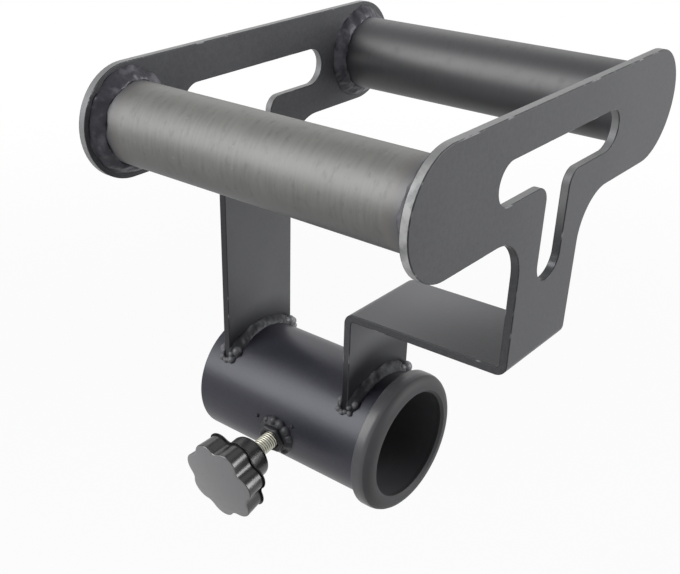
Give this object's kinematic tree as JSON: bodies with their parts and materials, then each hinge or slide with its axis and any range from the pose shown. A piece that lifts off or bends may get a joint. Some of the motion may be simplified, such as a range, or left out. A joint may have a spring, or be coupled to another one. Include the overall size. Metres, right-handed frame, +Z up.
{
  "type": "barbell pivot attachment",
  "caption": "Row handle that slides on a pivoting barbell: sleeve tube with flanged liner, cut-out side plates, parallel round grips and a clamp screw with star knob.",
  "frame": {"origin": "on the barbell's axis at the steel tube's mid-length", "axes": "+X along the barbell to the liner's flange, +Z up to the grips, and the clamp screw's knob faces -Y"},
  "size_m": [0.158, 0.191, 0.205],
  "materials": {
    "coated_steel": "fine satin powder coat",
    "tube_coat": "smooth satin powder coat",
    "grip_steel": "satin, turned round the grip",
    "weld_coat": "powder coat over the weld",
    "liner_plastic": "satin",
    "knob_plastic": "glossy",
    "zinc": "zinc plated",
    "pad_brass": "turned"
  },
  "bodies": {
    "handle": {"sleeve_tube": "tube_coat", "flanged_liner": "liner_plastic", "side_plate_left": "coated_steel", "side_plate_right": "coated_steel", "front_grip": "grip_steel", "rear_grip": "grip_steel", "weld_front_grip_left": "weld_coat", "weld_front_grip_right": "weld_coat", "weld_rear_grip_left": "weld_coat", "weld_rear_grip_right": "weld_coat", "weld_left_arm_outer": "weld_coat", "weld_left_arm_inner": "weld_coat", "weld_right_tab_outer": "weld_coat", "weld_right_tab_inner": "weld_coat", "weld_nut": "tube_coat", "weld_nut_bead": "weld_coat"},
    "pad": {"clamp_pad": "pad_brass"},
    "knob": {"clamp_screw": "zinc", "star_knob": "knob_plastic"}
  },
  "joints": [
    {"name": "screw_travel", "type": "slide", "parent": "handle", "child": "pad", "axis": [0, 0.9903, 0.1392], "range_m": [-0.00251, 0.01126]},
    {"name": "knob_turn", "type": "hinge", "parent": "pad", "child": "knob", "pos_m": [0.0009, 0, 0], "axis": [0, 0.9903, 0.1392], "range_deg": [-720, 3240]}
  ],
  "couplings": [
    {"joint": "screw_travel", "follows": "knob_turn", "m_per_rad": 0.00019894}
  ]
}
